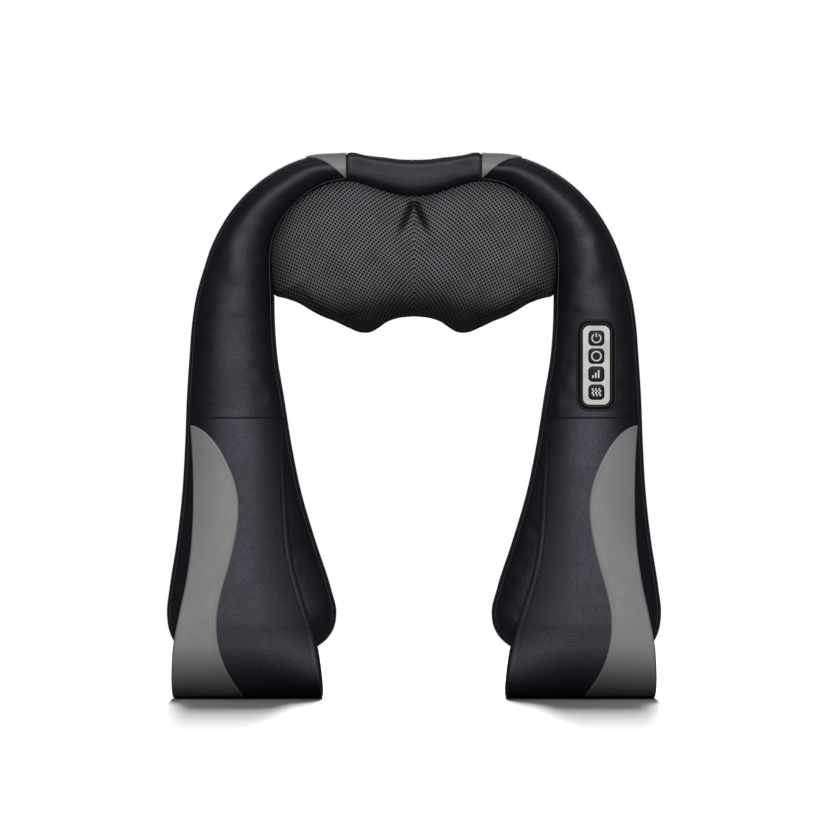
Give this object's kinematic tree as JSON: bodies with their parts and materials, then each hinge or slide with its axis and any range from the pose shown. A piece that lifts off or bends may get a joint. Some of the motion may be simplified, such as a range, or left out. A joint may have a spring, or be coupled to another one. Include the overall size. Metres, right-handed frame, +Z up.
{
  "type": "shiatsu neck massager",
  "caption": "Horseshoe neck and shoulder massager with kneading heads under a mesh cover, padded leather arms, hand-strap loops and a small key panel.",
  "frame": {"origin": "on the plane that the two hand straps stand on, at the middle of the width and of the depth", "axes": "+Z up, from the strap loops to the top pad; -Y is the side with the massage heads and the key panel; -X is the arm without the panel"},
  "size_m": [0.42, 0.092, 0.4632],
  "materials": {
    "leather_black": "satin",
    "leather_grey": "satin",
    "mesh_fabric": "woven",
    "foam": "matte",
    "housing_plastic": "matte",
    "nylon": "matte",
    "node_plastic": "gloss",
    "steel": "satin",
    "magnet": "matte",
    "bronze": "satin",
    "circuit_board": "satin",
    "lamp_lens": "gloss",
    "soft_rubber": "matte",
    "panel_metal": "satin",
    "key_plastic": "gloss",
    "lead_sleeve": "matte"
  },
  "bodies": {
    "core": {"bearing_block": "housing_plastic", "crown_foam": "foam", "driver_board": "circuit_board", "front_housing": "housing_plastic", "heat_boards": "circuit_board", "heat_lamps": "lamp_lens", "housing_screws": "steel", "left_shoulder_cover": "leather_black", "left_shoulder_foam": "foam", "left_top_patch": "leather_grey", "right_shoulder_cover": "leather_black", "right_shoulder_foam": "foam", "right_top_patch": "leather_grey", "mesh_cover": "mesh_fabric", "motor_bracket": "steel", "motor_can": "steel", "motor_end_cap": "housing_plastic", "motor_magnets": "magnet", "output_bushes": "bronze", "rear_cover": "leather_black", "rear_housing": "housing_plastic", "shoulder_lead": "lead_sleeve", "top_cover": "leather_black", "top_foam": "foam", "worm_bush": "bronze"},
    "rotor": {"motor_armature": "magnet", "motor_shaft": "steel", "worm": "steel"},
    "left_head": {"left_worm_wheel": "nylon", "left_output_shaft": "steel", "left_head_plate": "housing_plastic", "left_large_nodes": "node_plastic", "left_small_nodes": "node_plastic"},
    "right_head": {"right_worm_wheel": "nylon", "right_output_shaft": "steel", "right_head_plate": "housing_plastic", "right_large_nodes": "node_plastic", "right_small_nodes": "node_plastic"},
    "left_arm": {"left_arm_foam": "foam", "left_arm_cover": "leather_black", "left_strap": "leather_black", "left_strap_inlay": "leather_grey"},
    "right_arm": {"right_arm_foam": "foam", "right_arm_cover": "leather_black", "right_strap": "leather_black", "right_strap_inlay": "leather_grey", "panel_frame": "soft_rubber", "panel_plate": "panel_metal", "control_tray": "housing_plastic", "control_board": "circuit_board", "switch_domes": "steel", "control_lead": "lead_sleeve", "power_lead": "lead_sleeve", "power_inlet": "housing_plastic", "inlet_contact": "steel"},
    "power_key": {"power_key": "key_plastic"},
    "direction_key": {"direction_key": "key_plastic"},
    "speed_key": {"speed_key": "key_plastic"},
    "heat_key": {"heat_key": "key_plastic"}
  },
  "joints": [
    {"name": "left_head_spin", "type": "hinge", "parent": "core", "child": "left_head", "pos_m": [-0.054, 0, 0.374], "axis": [0, 1, 0], "continuous": true},
    {"name": "right_head_spin", "type": "hinge", "parent": "core", "child": "right_head", "pos_m": [0.054, 0, 0.374], "axis": [0, 1, 0], "continuous": true},
    {"name": "motor_spin", "type": "hinge", "parent": "core", "child": "rotor", "pos_m": [0, 0.0103, 0.374], "axis": [0, 0, 1], "continuous": true},
    {"name": "left_arm_bend", "type": "hinge", "parent": "core", "child": "left_arm", "pos_m": [-0.1525, 0, 0.33], "axis": [-1, 0, 0], "range_deg": [-15, 45], "stiffness_Nm_per_rad": 3},
    {"name": "right_arm_bend", "type": "hinge", "parent": "core", "child": "right_arm", "pos_m": [0.1525, 0, 0.33], "axis": [-1, 0, 0], "range_deg": [-15, 45], "stiffness_Nm_per_rad": 3},
    {"name": "power_press", "type": "slide", "parent": "right_arm", "child": "power_key", "axis": [0, 1, 0], "range_m": [0, 0.0006], "stiffness_N_per_m": 600},
    {"name": "direction_press", "type": "slide", "parent": "right_arm", "child": "direction_key", "axis": [0, 1, 0], "range_m": [0, 0.0006], "stiffness_N_per_m": 600},
    {"name": "speed_press", "type": "slide", "parent": "right_arm", "child": "speed_key", "axis": [0, 1, 0], "range_m": [0, 0.0006], "stiffness_N_per_m": 600},
    {"name": "heat_press", "type": "slide", "parent": "right_arm", "child": "heat_key", "axis": [0, 1, 0], "range_m": [0, 0.0006], "stiffness_N_per_m": 600}
  ],
  "couplings": [
    {"joint": "right_head_spin", "follows": "left_head_spin", "ratio": -1},
    {"joint": "motor_spin", "follows": "left_head_spin", "ratio": 76}
  ]
}
